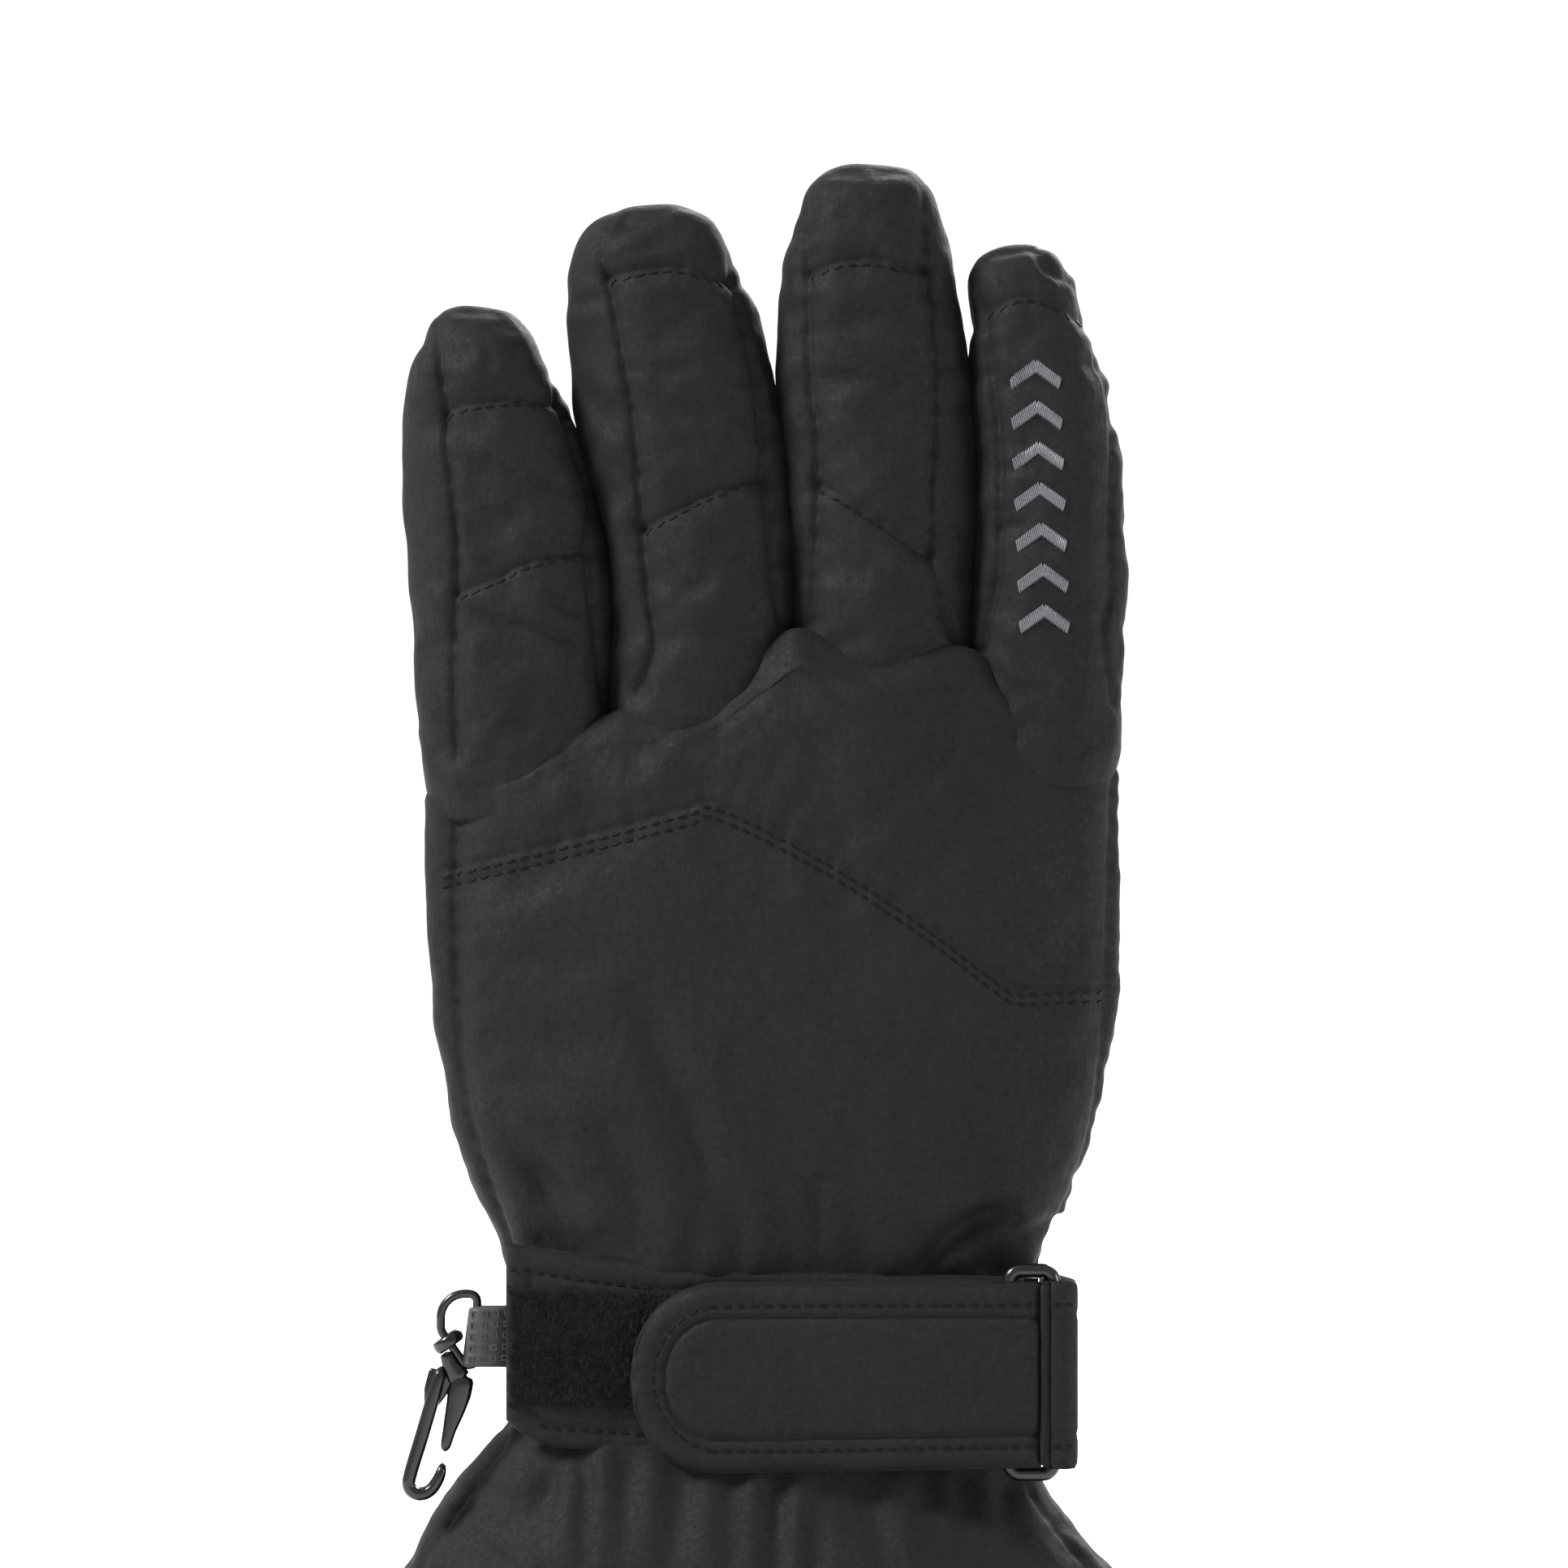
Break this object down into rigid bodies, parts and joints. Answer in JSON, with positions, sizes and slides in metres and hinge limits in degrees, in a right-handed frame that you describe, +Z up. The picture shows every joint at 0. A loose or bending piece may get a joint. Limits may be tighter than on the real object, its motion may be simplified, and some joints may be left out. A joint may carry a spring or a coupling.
{
  "type": "ski glove",
  "caption": "Padded left-hand ski glove with bending fingers and thumb, gauntlet, wrist strap with pull tab, and a storage hook.",
  "frame": {"origin": "centre of the hem's rim, on the surface that the glove stands on", "axes": "+Z up to the fingertips, +X to the forefinger side, -Y out of the back of the hand"},
  "size_m": [0.1448, 0.0728, 0.2942],
  "materials": {
    "shell_twill": "fine stretch twill",
    "liner_fleece": "brushed fleece",
    "strap_twill": "folded stretch twill binding",
    "touch_tape": "fuzzy loop pile and moulded hooks",
    "coated_webbing": "soft coated webbing",
    "black_acetal": "glossy moulded"
  },
  "bodies": {
    "hand": {"back_yoke": "shell_twill", "back_lower": "shell_twill", "palm_panel": "shell_twill", "little_side_panel": "shell_twill", "index_side_panel": "shell_twill", "hand_liner": "liner_fleece", "gauntlet_back": "shell_twill", "gauntlet_palm": "shell_twill", "gauntlet_sides": "shell_twill", "gauntlet_lining": "liner_fleece", "hem_binding": "strap_twill", "base_strap": "strap_twill", "loop_pile": "touch_tape", "strap_anchor": "strap_twill", "clip_webbing": "coated_webbing"},
    "little_lower": {"little_back_lower": "shell_twill", "little_fourchettes_lower": "shell_twill", "little_palm_lower": "shell_twill", "little_liner_lower": "liner_fleece"},
    "little_upper": {"little_back_upper": "shell_twill", "little_fourchettes_upper": "shell_twill", "little_palm_upper": "shell_twill", "little_liner_upper": "liner_fleece"},
    "ring_lower": {"ring_back_lower": "shell_twill", "ring_fourchettes_lower": "shell_twill", "ring_palm_lower": "shell_twill", "ring_liner_lower": "liner_fleece"},
    "ring_upper": {"ring_back_upper": "shell_twill", "ring_fourchettes_upper": "shell_twill", "ring_palm_upper": "shell_twill", "ring_liner_upper": "liner_fleece"},
    "middle_lower": {"middle_back_lower": "shell_twill", "middle_fourchettes_lower": "shell_twill", "middle_palm_lower": "shell_twill", "middle_liner_lower": "liner_fleece"},
    "middle_upper": {"middle_back_upper": "shell_twill", "middle_fourchettes_upper": "shell_twill", "middle_palm_upper": "shell_twill", "middle_liner_upper": "liner_fleece"},
    "index_lower": {"index_back_lower": "shell_twill", "index_fourchettes_lower": "shell_twill", "index_palm_lower": "shell_twill", "index_liner_lower": "liner_fleece"},
    "index_upper": {"index_back_upper": "shell_twill", "index_fourchettes_upper": "shell_twill", "index_palm_upper": "shell_twill", "index_liner_upper": "liner_fleece"},
    "thumb_lower": {"thumb_back_lower": "shell_twill", "thumb_front_lower": "shell_twill", "thumb_liner_lower": "liner_fleece"},
    "thumb_upper": {"thumb_back_upper": "shell_twill", "thumb_front_upper": "shell_twill", "thumb_liner_upper": "liner_fleece"},
    "strap_ring": {"strap_ring": "black_acetal"},
    "strap_tab": {"strap_tab": "strap_twill", "hook_tape": "touch_tape"},
    "d_ring": {"d_ring": "black_acetal"},
    "clip": {"clip_hook": "black_acetal"},
    "clip_gate": {"clip_gate": "black_acetal"}
  },
  "joints": [
    {"name": "little_knuckle", "type": "hinge", "parent": "hand", "child": "little_lower", "pos_m": [-0.0458, 0, 0.197], "axis": [-0.9969, 0, -0.0785], "range_deg": [-8, 60]},
    {"name": "little_middle_joint", "type": "hinge", "parent": "little_lower", "child": "little_upper", "pos_m": [-0.04863, 0, 0.23289], "axis": [-0.9969, 0, -0.0785], "range_deg": [0, 60]},
    {"name": "ring_knuckle", "type": "hinge", "parent": "hand", "child": "ring_lower", "pos_m": [-0.0117, 0, 0.203], "axis": [-0.9954, 0, -0.0958], "range_deg": [-8, 60]},
    {"name": "ring_middle_joint", "type": "hinge", "parent": "ring_lower", "child": "ring_upper", "pos_m": [-0.01601, 0, 0.24779], "axis": [-0.9954, 0, -0.0958], "range_deg": [0, 60]},
    {"name": "middle_knuckle", "type": "hinge", "parent": "hand", "child": "middle_lower", "pos_m": [0.0206, 0, 0.209], "axis": [-0.9996, 0, -0.0279], "range_deg": [-8, 60]},
    {"name": "middle_middle_joint", "type": "hinge", "parent": "middle_lower", "child": "middle_upper", "pos_m": [0.01937, 0, 0.25298], "axis": [-0.9996, 0, -0.0279], "range_deg": [0, 60]},
    {"name": "index_knuckle", "type": "hinge", "parent": "hand", "child": "index_lower", "pos_m": [0.0506, 0, 0.206], "axis": [-0.9996, 0, -0.0279], "range_deg": [-8, 60]},
    {"name": "index_middle_joint", "type": "hinge", "parent": "index_lower", "child": "index_upper", "pos_m": [0.04943, 0, 0.24798], "axis": [-0.9996, 0, -0.0279], "range_deg": [0, 60]},
    {"name": "thumb_swing", "type": "hinge", "parent": "hand", "child": "thumb_lower", "pos_m": [0.04, 0.0265, 0.125], "axis": [0, 1, 0], "range_deg": [0, 60]},
    {"name": "thumb_bend", "type": "hinge", "parent": "thumb_lower", "child": "thumb_upper", "pos_m": [0.02681, 0.0265, 0.15849], "axis": [0, -1, 0], "range_deg": [0, 22]},
    {"name": "ring_tilt", "type": "hinge", "parent": "hand", "child": "strap_ring", "pos_m": [0.0503, -0.0205, 0.0801], "axis": [0, 0, 1], "range_deg": [0, 25]},
    {"name": "tab_open", "type": "hinge", "parent": "strap_ring", "child": "strap_tab", "pos_m": [0.0426, -0.0205, 0.0801], "axis": [0, 0, 1], "range_deg": [0, 108]},
    {"name": "d_ring_swing", "type": "hinge", "parent": "hand", "child": "d_ring", "pos_m": [-0.0512, -0.012, 0.087], "axis": [0, 0, 1], "range_deg": [-35, 50]},
    {"name": "clip_swing", "type": "hinge", "parent": "d_ring", "child": "clip", "pos_m": [-0.0563, -0.012, 0.0848], "axis": [0.5764, 0, -0.8171], "range_deg": [-20, 20]},
    {"name": "gate_press", "type": "hinge", "parent": "clip", "child": "clip_gate", "pos_m": [-0.0539, -0.012, 0.0786], "axis": [0, 1, 0], "range_deg": [0, 11], "stiffness_Nm_per_rad": 0.02}
  ]
}
